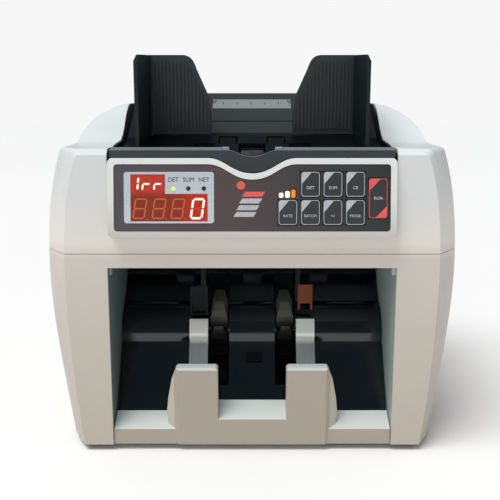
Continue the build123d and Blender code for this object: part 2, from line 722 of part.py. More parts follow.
def guide_pinion():
    """Gear between the two racks, which moves the guides together."""
    pitch_r = PINION_TEETH * PINION_MODULE / 2
    gear = Cylinder(pitch_r - 1.35, 5)
    for index in range(PINION_TEETH):
        turn = index * 360 / PINION_TEETH
        outline = [(pitch_r - 1.6, -0.85), (pitch_r, -0.55), (pitch_r + 0.8, -0.22),
                   (pitch_r + 0.8, 0.22), (pitch_r, 0.55), (pitch_r - 1.6, 0.85)]
        tooth = extrude(make_face(Polyline(*outline, close=True)), 5)
        gear += Rot(0, 0, turn) * (Pos(0, 0, -2.5) * tooth)
    gear -= Cylinder(2 + RUNNING, 12)
    return Pos(0, PINION_Y, (RACK_LOW + RACK_HIGH) / 2) * gear


def guide_rail():
    """Cross rail that carries the pinion's pin."""
    rail = slab(-104.8, 104.8, -26, -14, 172, 174)
    return rail + post(0, PINION_Y, 2.0, 173, 203) + post(0, PINION_Y, 4, 173, 195)


def guide_rod():
    """Round rod the guides slide on."""
    return rod((PINION_Y, 187), 3.0, -104.8, 104.8) - slab(-5, 5, -30, -10, 180, 195)


# ---------------------------------------------------------------- rollers
def feed_spans():
    """Places of the feed wheels along X."""
    return [(-9, 9), (28, 42), (-42, -28)]


def pickup_spans():
    """Places of the pick-up wheels along X."""
    return [(12, 24), (-24, -12)]


def outlet_spans():
    """Places of the outlet wheels along X."""
    return [(48, 62), (-62, -48), (-7, 7)]


def wheels(axis, radius, bore, spans):
    """Rubber-tyred wheels on one shaft."""
    group = Part()
    for x0, x1 in spans:
        group += ring(axis, radius, bore + 0.02, x0, x1)
    return group


def side_frame():
    """Left steel side plate with its foot flange."""
    outline = [(-62, 6.1), (84, 6.1), (84, 66), (42, 112), (42, 198), (28, 212), (0, 214),
               (-34, 214.5), (-52, 212.3), (-62, 206), (-94, 206), (-94, 166), (-62, 138)]
    plate = prism_x(outline, -FRAME_OUT, -FRAME_IN)
    plate += slab(-119, -FRAME_OUT + 1, -56, 80, 6.1, 7.7)
    for axis in (FEED_AXIS, PICKUP_AXIS, OUTLET_AXIS, STACKER_AXIS):
        plate -= rod(axis, BEARING_R + 0.03, -120, -100)
    plate -= rod(PINCH_AXIS, 3 + RUNNING, -120, -100)
    plate -= rod(MOTOR_AXIS, 9, -120, -100)
    for y in (-44, 66):
        plate -= post(-113, y, 1.7, 0, 12)
    return plate


def bearings():
    """Bushes that carry the shafts in both side plates."""
    group = Part()
    for axis in (FEED_AXIS, PICKUP_AXIS, OUTLET_AXIS, STACKER_AXIS):
        bush = ring(axis, BEARING_R, SHAFT_R + RUNNING, FRAME_IN - 0.6, FRAME_OUT + 1.2)
        bush += ring(axis, BEARING_R + 1.6, SHAFT_R + RUNNING, FRAME_OUT + 0.05, FRAME_OUT + 1.2)
        group += both(bush)
    return group


def tie_rods():
    """Spacers between the side plates."""
    group = Part()
    for axis in (TIE_LOW, (10, 62), (32, 186)):
        group += rod(axis, 3.5, -FRAME_IN + 0.05, FRAME_IN - 0.05)
    return group


def frame_screws():
    """Screws through the frames' foot flanges."""
    group = Part()
    for y in (-44, 66):
        group += post(113, y, 3.0, 7.75, 9.9) + post(113, y, 1.5, 6.1, 8.5)
    return both(group)


def retard_roller():
    """Grey friction roller that lets one note through."""
    return ring(RETARD_AXIS, RETARD_R, 2.02, -7.5, 7.5)


def retard_bracket():
    """Swinging bracket with the roller's pin."""
    pin_y, pin_z = RETARD_AXIS
    bar_y, bar_z = RETARD_BAR
    arm = rod(RETARD_AXIS, 4.6, 9, 11.5)
    arm += rod(RETARD_BAR, 5.0, 9, 11.5)
    arm += prism_x([(pin_y - 3.4, pin_z), (pin_y + 3.4, pin_z), (bar_y + 3.6, bar_z), (bar_y - 3.6, bar_z)],
                   9, 11.5)
    arm -= rod(RETARD_BAR, 3 + RUNNING, 0, 20)
    cross = slab(-10, 10, bar_y - 4.8, bar_y - 3.4, bar_z + 3.8, bar_z + 9)
    return both(arm) + cross


def retard_pin():
    """Roller pin with its two end caps."""
    end = rod(RETARD_AXIS, 5.6, 15, 19) + rod(RETARD_AXIS, 2.0, 11.52, 15.5)
    return rod(RETARD_AXIS, 2.0, -9, 9) + both(end)


def retard_bar():
    """Fixed bar the retard bracket swings on."""
    return rod(RETARD_BAR, 3.0, -104.2, 104.2)


def band_path(points_low, points_high, half):
    """Bent sheet between two point lists."""
    return prism_x(points_low + list(reversed(points_high)), -half, half)


def front_path_guide():
    """Curved sheet that turns notes round the feed wheels."""
    inner_r, outer_r = FEED_R + 1.6, FEED_R + 2.8
    a0, am, a1 = 200, 235, 270
    low = [polar(FEED_AXIS, outer_r, a) for a in (a0, am, a1)]
    high = [polar(FEED_AXIS, inner_r, a) for a in (a0, am, a1)]
    edges = ThreePointArc(*low) + Line(low[2], (-46, 149.2)) + Line((-46, 149.2), (-45.4, 150.4))
    edges += Line((-45.4, 150.4), high[2]) + ThreePointArc(*reversed(high)) + Line(high[0], low[0])
    return extrude(Pos(-94, 0, 0) * (Plane.YZ * make_face(edges)), 188)


def rear_path_guide():
    """Upper sheet of the note path."""
    return band_path([(-58, 168.0), (-27, 150.5)], [(-58, 169.6), (-26.2, 151.7)], 94)


def uv_lamp():
    """Ultraviolet lamp tube above the note path."""
    return rod((-34, 164), 4.0, -38, 38)


def lamp_holder():
    """Clips and strip that hold the ultraviolet lamp."""
    holder = slab(-46, 46, -30, -28.4, 158, 170)
    holder += both(slab(38.1, 46, -39, -28.4, 160, 168))
    return holder


# ---------------------------------------------------------------- drive
def belt_outline(a, ra, b, rb):
    """Solid loop shape round two circles, as one face in (y, z)."""
    dy, dz = b[0] - a[0], b[1] - a[1]
    distance = math.hypot(dy, dz)
    heading = math.atan2(dz, dy)
    lean = math.acos((ra - rb) / distance)
    corners = []
    for centre, radius, sign in ((a, ra, 1), (b, rb, 1), (b, rb, -1), (a, ra, -1)):
        angle = heading + sign * lean
        corners.append((centre[0] + radius * math.cos(angle), centre[1] + radius * math.sin(angle)))
    face = make_face(Polyline(*corners, close=True))
    return face + Pos(a[0], a[1]) * Circle(ra) + Pos(b[0], b[1]) * Circle(rb)


def belt(a, ra, b, rb, x0, x1):
    """Flat drive belt, a running gap off both pulleys."""
    gap, thick = 0.35, 1.4
    face = belt_outline(a, ra + gap + thick, b, rb + gap + thick) - belt_outline(a, ra + gap, b, rb + gap)
    return extrude(Pos(x0 + 0.3, 0, 0) * (Plane.YZ * face), x1 - x0 - 0.6)


def pulley(axis, radius, bore, x0, x1):
    """Flanged pulley whose groove is between x0 and x1."""
    wheel = ring(axis, radius, bore, x0 - 0.4, x1 + 0.4)
    for x in (x0 - 1.2, x1 + 0.4):
        wheel += ring(axis, radius + 1.3, bore, x, x + 0.8)
    return wheel


def drive_motor():
    """Motor can with its mounting boss."""
    can = rod(MOTOR_AXIS, 19.0, -98, -42) + rod(MOTOR_AXIS, 8.8, -104.9, -97)
    can += rod(MOTOR_AXIS, 21.0, -104.9, -102)
    can = can - rod(MOTOR_AXIS, 3.4, -106, -41)
    return can + rod(MOTOR_AXIS, 19.0, -43, -41)


# ---------------------------------------------------------------- electrics
def main_board():
    """Main circuit board, upright behind the mechanism."""
    board = slab(-60, 90, 84, 85.6, 84, 172)
    for x in (-56, 86):
        for z in (88, 168):
            board -= Pos(x, 85, z) * Rot(90, 0, 0) * Cylinder(1.7, 10)
    return board


def board_parts():
    """Capacitors, sink and connectors on the main board."""
    group = Part()
    for x, z, radius, height in ((-40, 105, 6, 14), (-24, 105, 6, 14), (-40, 130, 4, 10), (0, 100, 5, 12)):
        group += Pos(x, 85.65 + height / 2, z) * Rot(90, 0, 0) * Cylinder(radius, height)
    sink = slab(20, 60, 85.65, 88, 96, 126)
    for index in range(6):
        x = 21 + index * 7
        sink += slab(x, x + 1.6, 87.5, 103, 96, 126)
    group += sink
    group += slab(10, 34, 85.65, 88.2, 138, 162)
    group += slab(-50, -14, 85.65, 94, 156, 163)
    return group


def board_standoffs():
    """Posts between the board and the motor-side cross plate."""
    group = Part()
    for x in (-56, 86):
        for z in (88, 168):
            group += Pos(x, 79.45, z) * Rot(90, 0, 0) * Cylinder(3.0, 9.0)
    return group


def board_carrier():
    """Cross plate that carries the main board."""
    return slab(-100, 100, 73.4, 74.9, 6.1, 176) + slab(-100, 100, 73.4, 82, 6.1, 7.6)


def transformer_core():
    """Laminated core of the supply transformer."""
    core = slab(22, 78, 60, 70.4, 8, 52)
    core -= slab(30, 44, 50, 80, 16, 44) + slab(56, 70, 50, 80, 16, 44)
    return core + slab(18, 82, 62, 70, 6.1, 8.5)


def transformer_coil():
    """Windings round the core's middle limb."""
    coil = slab(30.4, 69.6, 52, 72.8, 17, 43)
    return coil - slab(43.7, 56.3, 59.7, 70.7, 10, 50)


def power_inlet():
    """Appliance inlet socket with its flange."""
    body = slab(61.5, 88.5, 106, REAR_Y - 3.1, 30.5, 51.5)
    body += slab(61.3, 88.7, REAR_Y - 4, REAR_Y - 0.2, 30.3, 51.7)
    return body - slab(64, 86, 109, 130, 33.5, 48.5)


def inlet_pins():
    """Three contact pins of the inlet."""
    group = slab(74, 76, 108.9, 119, 42.5, 46.5)
    group += slab(67.5, 69.5, 108.9, 118, 36, 40) + slab(80.5, 82.5, 108.9, 118, 36, 40)
    return group


def switch_body():
    """Housing of the power switch."""
    body = slab(33, 47, 104, REAR_Y - 0.2, 30.4, 51.6)
    return body - slab(35, 45, 110, 130, 32.6, 49.4)


def switch_rocker():
    """Rocker of the power switch, tilted to on."""
    outline = [(REAR_Y - 0.6, 33.8), (REAR_Y - 2.6, 41), (REAR_Y + 0.0, 48.2),
               (REAR_Y - 6.5, 48.2), (REAR_Y - 9, 41), (REAR_Y - 6.5, 33.8)]
    return prism_x(outline, 35.4, 44.6) - rod((REAR_Y - 6.0, 41), 1.05, 30, 50)


def switch_pin():
    """Hinge pin of the rocker."""
    return rod((REAR_Y - 6.0, 41), 1.0, 33, 47)


def fuse_holder():
    """Round fuse holder with its slotted cap."""
    holder = Pos(10, 110, 41) * Rot(90, 0, 0) * Cylinder(6.2, 22)
    cap = Pos(10, REAR_Y - 1.75, 41) * Rot(90, 0, 0) * Cylinder(6.2, 3.1)
    return holder + cap - slab(9.3, 10.7, REAR_Y - 1.4, 130, 36.5, 45.5)


def adjust_knob():
    """Ridged knob on the rear deck that sets the feed gap."""
    knob = Cylinder(10, 8)
    for index in range(18):
        knob -= Rot(0, 0, index * 20) * Pos(10.4, 0, 0) * Cylinder(0.9, 12)
    stem = Pos(0, 0, -14) * Cylinder(3.0, 22)
    return Pos(0, KNOB_Y, KNOB_Z + 4) * (knob + stem)


def drive_parts():
    """Shafts with their pulleys, the wheels they carry, and the belts."""
    bore = SHAFT_R + 0.02
    left = (-118.0, -113.0)
    far_left = (-126.0, -121.0)
    right = (113.0, 118.0)
    far_right = (121.0, 126.0)
    feed = rod(FEED_AXIS, SHAFT_R, -127.5, 119.5)
    feed += pulley(FEED_AXIS, FEED_PULLEY_R, bore, *far_left)
    feed += pulley(FEED_AXIS, LIFT_PULLEY_R, bore, *right)
    pickup = rod(PICKUP_AXIS, SHAFT_R, -108.6, 119.5)
    pickup += pulley(PICKUP_AXIS, PICKUP_PULLEY_R, bore, *right)
    outlet = rod(OUTLET_AXIS, SHAFT_R, -127.5, 127.5)
    outlet += pulley(OUTLET_AXIS, MAIN_PULLEY_R, bore, *left)
    outlet += pulley(OUTLET_AXIS, OUTLET_PULLEY_R, bore, *far_left)
    outlet += pulley(OUTLET_AXIS, OUTLET_PULLEY_R, bore, *far_right)
    stacker = rod(STACKER_AXIS, SHAFT_R, -108.6, 127.5)
    stacker += pulley(STACKER_AXIS, STACKER_PULLEY_R, bore, *far_right)
    pinch = rod(PINCH_AXIS, 3.0, -107.4, 107.4) + wheels(PINCH_AXIS, PINCH_R, 3.0, outlet_spans())
    motor = rod(MOTOR_AXIS, 3.0, -120.0, -45) + pulley(MOTOR_AXIS, MOTOR_PULLEY_R, 3.02, *left)
    belts = belt(MOTOR_AXIS, MOTOR_PULLEY_R, OUTLET_AXIS, MAIN_PULLEY_R, *left)
    belts += belt(OUTLET_AXIS, OUTLET_PULLEY_R, FEED_AXIS, FEED_PULLEY_R, *far_left)
    belts += belt(FEED_AXIS, LIFT_PULLEY_R, PICKUP_AXIS, PICKUP_PULLEY_R, *right)
    belts += belt(OUTLET_AXIS, OUTLET_PULLEY_R, STACKER_AXIS, STACKER_PULLEY_R, *far_right)
    return {
        "feed_shaft": feed,
        "feed_wheels": wheels(FEED_AXIS, FEED_R, SHAFT_R, feed_spans()),
        "pickup_shaft": pickup,
        "pickup_wheels": wheels(PICKUP_AXIS, PICKUP_R, SHAFT_R, pickup_spans()),
        "outlet_shaft": outlet,
        "outlet_wheels": wheels(OUTLET_AXIS, OUTLET_R, SHAFT_R, outlet_spans()),
        "pinch_rollers": pinch,
        "stacker_shaft": stacker,
        "impeller_wheels": impeller_wheels(),
        "motor_rotor": motor,
        "drive_belts": belts,
    }


def casing_parts():
    """Casing, base and outlet pieces."""
    lower, upper = shells()
    return {
        "lower_shell": lower,
        "upper_shell": upper,
        "rear_cover": rear_cover(),
        "screws": rear_screws() + foot_screws() + frame_screws(),
        "base_plate": base_plate(),
        "rubber_feet": rubber_feet(),
        "stacker_tray": stacker_tray(),
        "bay_liner": bay_liner(),
        "outlet_cover": outlet_cover(),
        "stripper_strips": stripper_strips(),
        "note_sensors": count_sensors() + stack_sensor(),
        "sensor_tag": sensor_tag(),
    }


def panel_parts():
    """Control panel pieces."""
    parts = {
        "panel_bezel": panel_bezel(),
        "panel_overlay": panel_overlay(),
        "display_frame": display_frame(),
        "display_lens": display_lens(),
        "panel_lamps": indicator_lamps() + speed_lamps(),
        "key_domes": key_domes(),
        "display_board": display_board() + digit_modules(),
    }
    for name, place in key_places().items():
        parts[name] = panel_key(*place)
    return parts


def hopper_parts():
    """Hopper, guides and their mechanism."""
    guide = note_guide()
    return {
        "hopper_lip": hopper_lip(),
        "hopper_tray": hopper_tray(),
        "hopper_back": hopper_back(),
        "guide_left": guide,
        "guide_right": other_side(guide),
        "rack_left": carrier_left(),
        "rack_right": carrier_right(),
        "guide_pinion": guide_pinion(),
        "cross_rods": guide_rail() + guide_rod() + retard_bar() + tie_rods(),
        "retard_roller": retard_roller(),
        "retard_bracket": retard_bracket() + retard_pin(),
    }


def inner_parts():
    """Frames, note path, motor and electrics."""
    return {
        "side_frames": both(side_frame()),
        "board_carrier": board_carrier() + board_standoffs(),
        "bearings": bearings(),
        "path_guides": front_path_guide() + rear_path_guide(),
        "uv_lamp": uv_lamp() + lamp_holder(),
        "drive_motor": drive_motor(),
        "main_board": main_board() + board_parts(),
        "transformer": transformer_core() + transformer_coil(),
        "power_entry": power_inlet() + inlet_pins() + switch_body() + switch_pin() + fuse_holder(),
        "switch_rocker": switch_rocker(),
        "adjust_knob": adjust_knob(),
    }


def main():
    """Build and write every sub-part."""
    os.makedirs("parts", exist_ok=True)
    for group in (casing_parts, panel_parts, hopper_parts, drive_parts, inner_parts):
        for name, shape in group().items():
            save(name, shape)


main()
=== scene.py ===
import json
import math

import bmesh
import bpy
from mathutils import Matrix, Vector


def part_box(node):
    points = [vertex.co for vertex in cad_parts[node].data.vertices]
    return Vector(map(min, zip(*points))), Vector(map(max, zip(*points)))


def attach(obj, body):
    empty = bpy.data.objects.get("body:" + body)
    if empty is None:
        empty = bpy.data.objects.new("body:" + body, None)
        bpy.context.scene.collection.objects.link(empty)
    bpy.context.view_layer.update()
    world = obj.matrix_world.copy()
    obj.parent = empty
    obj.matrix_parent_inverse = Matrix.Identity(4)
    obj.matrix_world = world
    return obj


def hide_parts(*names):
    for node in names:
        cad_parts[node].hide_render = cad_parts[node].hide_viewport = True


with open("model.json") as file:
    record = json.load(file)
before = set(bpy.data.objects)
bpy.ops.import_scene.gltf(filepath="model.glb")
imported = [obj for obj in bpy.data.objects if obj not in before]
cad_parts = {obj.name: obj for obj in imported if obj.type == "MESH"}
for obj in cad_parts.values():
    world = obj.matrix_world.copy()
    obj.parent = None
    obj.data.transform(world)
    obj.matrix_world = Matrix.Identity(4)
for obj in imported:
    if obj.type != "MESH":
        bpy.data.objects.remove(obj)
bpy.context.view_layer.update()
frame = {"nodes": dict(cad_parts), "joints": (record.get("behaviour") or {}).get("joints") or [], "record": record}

MM = 0.001
NODES = frame["nodes"]

# ---- the panel's own plane, found from the frame ----
# s runs up the panel; the bezel's front edge and its top edge lie this far up
FRONT_S = 0.7 * MM
TOP_S = 53.8 * MM
JOINTS = {joint["name"]: joint for joint in frame["joints"]}
PRESS = Vector(JOINTS["key_start_press"]["axis"])
PANEL_UP = Vector((0, -PRESS.z, PRESS.y))
BEZEL_LOW, BEZEL_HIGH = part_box("panel_bezel")
PANEL_FOOT = Vector((0, BEZEL_LOW.y - FRONT_S * PANEL_UP.y, BEZEL_HIGH.z - TOP_S * PANEL_UP.z))


def panel_matrix(x, s, n=0.0):
    """Matrix that lays a flat drawing on the panel, at x across, s up and n out of it in mm."""
    place = PANEL_FOOT + Vector((x * MM, 0, 0)) + PANEL_UP * (s * MM) - PRESS * (n * MM)
    matrix = Matrix.Identity(4)
    for index, column in enumerate((Vector((1, 0, 0)), PANEL_UP, -PRESS, place)):
        for row in range(3):
            matrix[row][index] = column[row]
    return matrix


# ---- materials ----
# sockets of the colour mix node
MIX_FACTOR, MIX_FIRST, MIX_SECOND, MIX_RESULT = 0, 6, 7, 2
# where most noise starts and ends its change of tone
NOISE_LOW, NOISE_HIGH = 0.3, 0.7
# grain of moulded plastic: noise scale and height of the bump
PLASTIC_GRAIN = 1500.0
GRAIN_HEIGHT = 0.04 * MM


def grey(level):
    """A neutral colour."""
    return (level, level, level)


def shifted(colour, factor):
    """A colour made lighter or darker."""
    return tuple(min(1.0, part * factor) for part in colour)


class Shade:
    """A procedural material under construction, in the object's own coordinates."""

    def __init__(self, name):
        self.material = bpy.data.materials.new(name)
        self.material.use_nodes = True
        self.nodes = self.material.node_tree.nodes
        self.links = self.material.node_tree.links
        self.shader = self.nodes["Principled BSDF"]
        self.coordinates = self.nodes.new("ShaderNodeTexCoord").outputs
        self.place = self.coordinates["Object"]

    def set(self, **values):
        """Constant shader inputs, by name with underscores for spaces."""
        for key, value in values.items():
            self.shader.inputs[key.replace("_", " ")].default_value = value
        return self

    def noise(self, scale, detail, stretch=None, roughness=0.55):
        """Noise, drawn out by axis where a stretch is given."""
        node = self.nodes.new("ShaderNodeTexNoise")
        node.inputs["Scale"].default_value = scale
        node.inputs["Detail"].default_value = detail
        node.inputs["Roughness"].default_value = roughness
        self.links.new(self.stretched(stretch), node.inputs["Vector"])
        return node.outputs["Fac"]

    def stretched(self, stretch):
        """Object coordinates, scaled by axis where asked."""
        if stretch is None:
            return self.place
        mapping = self.nodes.new("ShaderNodeMapping")
        mapping.inputs["Scale"].default_value = stretch
        self.links.new(self.place, mapping.inputs["Vector"])
        return mapping.outputs["Vector"]

    def ramp(self, value, stops):
        """Colour ramp of (place, colour) stops."""
        node = self.nodes.new("ShaderNodeValToRGB")
        node.color_ramp.elements[0].position = stops[0][0]
        node.color_ramp.elements[0].color = (*stops[0][1], 1)
        node.color_ramp.elements[1].position = stops[-1][0]
        node.color_ramp.elements[1].color = (*stops[-1][1], 1)
        for position, colour in stops[1:-1]:
            node.color_ramp.elements.new(position).color = (*colour, 1)
        self.links.new(value, node.inputs["Fac"])
        return node.outputs["Color"]

    def fade(self, value, first, second, start=NOISE_LOW, end=NOISE_HIGH):
        """Colour ramp from one colour to another."""
        return self.ramp(value, [(start, first), (end, second)])

    def range(self, value, low, high, start=NOISE_LOW, end=NOISE_HIGH):
        """Map a value from start..end to low..high."""
        node = self.nodes.new("ShaderNodeMapRange")
        node.inputs["From Min"].default_value = start
        node.inputs["From Max"].default_value = end
        node.inputs["To Min"].default_value = low
        node.inputs["To Max"].default_value = high
        self.links.new(value, node.inputs["Value"])
        return node.outputs["Result"]

    def mix(self, factor, first, second, blend="MIX"):
        """Mix two colours; each of the three is a socket or a constant."""
        node = self.nodes.new("ShaderNodeMix")
        node.data_type = "RGBA"
        node.blend_type = blend
        for index, value in ((MIX_FACTOR, factor), (MIX_FIRST, first), (MIX_SECOND, second)):
            if isinstance(value, bpy.types.NodeSocket):
                self.links.new(value, node.inputs[index])
            elif isinstance(value, (int, float)):
                node.inputs[index].default_value = value
            else:
                node.inputs[index].default_value = (*value, 1)
        return node.outputs[MIX_RESULT]

    def times(self, first, second):
        """Two colours multiplied."""
        return self.mix(1.0, first, second, "MULTIPLY")

    def part(self, vector, name):
        """One coordinate of a vector."""
        node = self.nodes.new("ShaderNodeSeparateXYZ")
        self.links.new(vector, node.inputs["Vector"])
        return node.outputs[name]

    def along(self, name, start, end):
        """0 to 1 from one place to another along the object's own axis."""
        return self.range(self.part(self.place, name), 0.0, 1.0, start, end)

    def facing_up(self, start, end):
        """0 to 1 as the surface turns upward, in the object's own axes."""
        return self.range(self.part(self.coordinates["Normal"], "Z"), 0.0, 1.0, start, end)

    def drifting(self, tone, drift):
        """A colour that turns into another along an axis: (axis, start, end, other colour)."""
        if drift is None:
            return tone
        axis, start, end, other = drift
        return self.mix(self.along(axis, start, end), tone, other)

    def colour(self, socket):
        """Connect the base colour."""
        self.links.new(socket, self.shader.inputs["Base Color"])

    def rough(self, socket):
        """Connect the roughness."""
        self.links.new(socket, self.shader.inputs["Roughness"])

    def glow(self, socket):
        """Connect the colour of the emitted light."""
        self.links.new(socket, self.shader.inputs["Emission Color"])

    def bump(self, height, strength, distance):
        """Connect a height to the surface's bump."""
        node = self.nodes.new("ShaderNodeBump")
        node.inputs["Strength"].default_value = strength
        node.inputs["Distance"].default_value = distance
        self.links.new(height, node.inputs["Height"])
        self.links.new(node.outputs["Normal"], self.shader.inputs["Normal"])


def moulded(name, colour, rough, depth=0.35, spread=0.06, specular=0.5, drift=None, top=None):
    """Injection-moulded plastic: fine grain, slow change of tone, uneven gloss.

    Its colour may drift along an axis, painting light and shade, and faces that look up may have their own lighter
    colour, a painted highlight.
    """
    shade = Shade(name).set(IOR=1.46, Specular_IOR_Level=specular)
    slow = shade.noise(7.0, 3.0)
    tone = shade.fade(slow, shifted(colour, 1 - spread), shifted(colour, 1 + spread))
    # the drift paints light and shade along an axis; the top colour paints a highlight on upward faces
    tone = shade.drifting(tone, drift)
    if top:
        tone = shade.mix(shade.facing_up(0.5, 0.9), tone, top)
    shade.colour(tone)
    shade.rough(shade.range(shade.noise(60.0, 5.0), rough - 0.05, rough + 0.06))
    shade.bump(shade.noise(PLASTIC_GRAIN, 2.0), depth, GRAIN_HEIGHT)
    return shade.material


def pale_casing(name, stops, axis, reach, top):
    """Pale casing plastic with faint marks, whose colour drifts along an axis as painted shade and is painted
    lighter on faces that look up, as painted light from above.
    """
    shade = Shade(name).set(IOR=1.46, Specular_IOR_Level=0.4)
    # painted shade along the axis, then painted light where faces look up
    tint_and_painted_shade = shade.ramp(shade.along(axis, *reach), stops)
    tint_and_painted_shade = shade.mix(shade.facing_up(0.3, 0.85), tint_and_painted_shade, top)
    tone = shade.fade(shade.noise(5.0, 3.0), grey(0.96), grey(1.0))
    spots = shade.noise(38.0, 8.0, roughness=0.7)
    marks = shade.fade(spots, grey(1.0), (0.93, 0.92, 0.89), 0.60, 0.80)
    shade.colour(shade.times(shade.times(tint_and_painted_shade, tone), marks))
    shade.rough(shade.range(shade.noise(45.0, 5.0), 0.36, 0.48))
    shade.bump(shade.noise(PLASTIC_GRAIN, 2.0), 0.3, GRAIN_HEIGHT)
    return shade.material


def polished(name, colour, rough):
    """Glossy plastic with faint wipe marks."""
    shade = Shade(name).set(IOR=1.45, Specular_IOR_Level=1.0)
    streak = shade.noise(30.0, 6.0, stretch=(0.4, 3.0, 3.0))
    shade.colour(shade.fade(streak, shifted(colour, 0.8), shifted(colour, 1.6), end=0.75))
    shade.rough(shade.range(shade.noise(90.0, 6.0), rough - 0.02, rough + 0.10))
    shade.bump(shade.noise(26.0, 2.0), 0.10, 0.2 * MM)
    return shade.material


def brushed(name, colour, rough, stretch=(1.0, 60.0, 60.0), metallic=1.0, even=1.0, drift=None):
    """Brushed or drawn metal; a lower even makes its lines fainter, and a drift along an axis paints a highlight.
    """
    shade = Shade(name).set(Metallic=metallic)
    lines = shade.noise(40.0, 6.0, stretch=stretch)
    tone = shade.fade(lines, shifted(colour, 1 - 0.18 * even), shifted(colour, 1 + 0.12 * even))
    # a drift along an axis paints a highlight
    shade.colour(shade.drifting(tone, drift))
    shade.rough(shade.range(lines, rough - 0.06 * even, rough + 0.12 * even))
    shade.bump(lines, 0.15 * even, 0.03 * MM)
    return shade.material


def rubbery(name, colour, rough=0.75):
    """Ground rubber with dust."""
    shade = Shade(name).set(IOR=1.5)
    dust = shade.noise(220.0, 8.0, roughness=0.7)
    shade.colour(shade.fade(dust, colour, shifted(colour, 2.2), 0.35, 0.75))
    shade.rough(shade.range(dust, rough - 0.1, rough + 0.12))
    shade.bump(shade.noise(2600.0, 3.0), 0.5, 0.08 * MM)
    return shade.material


def printed_sheet(name, stops):
    """Screen-printed membrane with fine leather grain, whose tone drifts from left to right."""
    shade = Shade(name).set(IOR=1.5)
    drift = shade.ramp(shade.along("X", -0.09, 0.09), stops)
    tone = shade.fade(shade.noise(18.0, 3.0), grey(0.86), grey(1.0))
    shade.colour(shade.times(drift, tone))
    shade.rough(shade.range(shade.noise(120.0, 4.0), 0.36, 0.5))
    shade.bump(shade.noise(2200.0, 2.0), 0.35, GRAIN_HEIGHT)
    return shade.material


def ink(name, colour):
    """Opaque printing ink."""
    shade = Shade(name).set(IOR=1.5)
    tone = shade.noise(400.0, 4.0)
    shade.colour(shade.fade(tone, shifted(colour, 0.9), shifted(colour, 1.08)))
    shade.rough(shade.range(tone, 0.45, 0.6))
    return shade.material


def glowing(name, colour, light, strength):
    """Lit lamp or segment whose brightness varies a little."""
    shade = Shade(name).set(Emission_Strength=strength, Roughness=0.3)
    tone = shade.noise(260.0, 2.0)
    shade.colour(shade.fade(tone, shifted(colour, 0.9), colour))
    shade.glow(shade.fade(tone, shifted(light, 0.86), light, 0.25, 0.75))
    return shade.material


def lens_red():
    """Red display filter; the short number at the upper left glows on a brighter ground."""
    shade = Shade("lens_red").set(IOR=1.49, Specular_IOR_Level=0.3, Emission_Strength=0.9)
    tone = shade.noise(55.0, 3.0)
    shade.colour(shade.fade(tone, (0.045, 0.006, 0.004), (0.06, 0.009, 0.005)))
    shade.rough(shade.range(shade.noise(300.0, 3.0), 0.22, 0.34))
    lit_digit = shade.along("X", -0.049, -0.041)
    upper_row = shade.along("Z", 0.1850, 0.1885)
    glow = shade.mix(lit_digit, (0.20, 0.036, 0.016), (0.50, 0.026, 0.014))
    glow = shade.mix(upper_row, glow, (0.48, 0.040, 0.026))
    shade.glow(shade.mix(shade.range(tone, 0.0, 0.25), glow, (0.30, 0.012, 0.008)))
    return shade.material


def board_green():
    """Solder mask with copper tracks showing through."""
    shade = Shade("board_green").set(IOR=1.5)
    track = shade.noise(160.0, 2.0, stretch=(1.0, 1.0, 4.0))
    shade.colour(shade.fade(track, (0.012, 0.10, 0.035), (0.03, 0.20, 0.07), 0.45, 0.55))
    shade.rough(shade.range(track, 0.25, 0.4))
    shade.bump(track, 0.3, 0.05 * MM)
    return shade.material


def tube_violet():
    """Ultraviolet lamp glass."""
    shade = Shade("tube_violet").set(IOR=1.5, Transmission_Weight=0.4, Roughness=0.1)
    tone = shade.noise(40.0, 2.0)
    shade.colour(shade.fade(tone, (0.30, 0.26, 0.55), (0.45, 0.40, 0.75)))
    return shade.material


# painted shade on the pale plastic by height: warmer and darker low down, a lighter painted band just under the
# panel, cooler higher up
CASING_PAINTED_SHADE = [(0.0, (0.48, 0.43, 0.365)), (0.45, (0.525, 0.485, 0.425)),
               (0.70, (0.575, 0.54, 0.485)), (0.76, (0.72, 0.68, 0.62)),
               (0.93, (0.65, 0.67, 0.66))]
BEZEL_PAINTED_SHADE = [(0.0, (0.50, 0.48, 0.43)), (0.12, (0.55, 0.535, 0.495)),
              (0.5, (0.68, 0.69, 0.67)), (1.0, (0.70, 0.72, 0.71))]
# and painted shade on the stacker tray: darker on its front face, lighter back over its tongues
TRAY_PAINTED_SHADE = [(0.0, (0.385, 0.335, 0.28)), (0.40, (0.385, 0.335, 0.28)),
             (0.50, (0.50, 0.46, 0.39)), (0.80, (0.50, 0.46, 0.39))]
# painted light: the paler, cooler colour of faces that look up, as if lit from above
TOP_PAINTED_LIGHT = (0.73, 0.79, 0.80)
SHEET_TINT = [(0.0, (0.076, 0.070, 0.080)), (0.40, (0.088, 0.060, 0.061)),
              (0.62, (0.062, 0.050, 0.050)), (1.0, (0.028, 0.035, 0.036))]
KEY_TINT = [(0.0, (0.042, 0.045, 0.046)), (1.0, (0.036, 0.038, 0.040))]

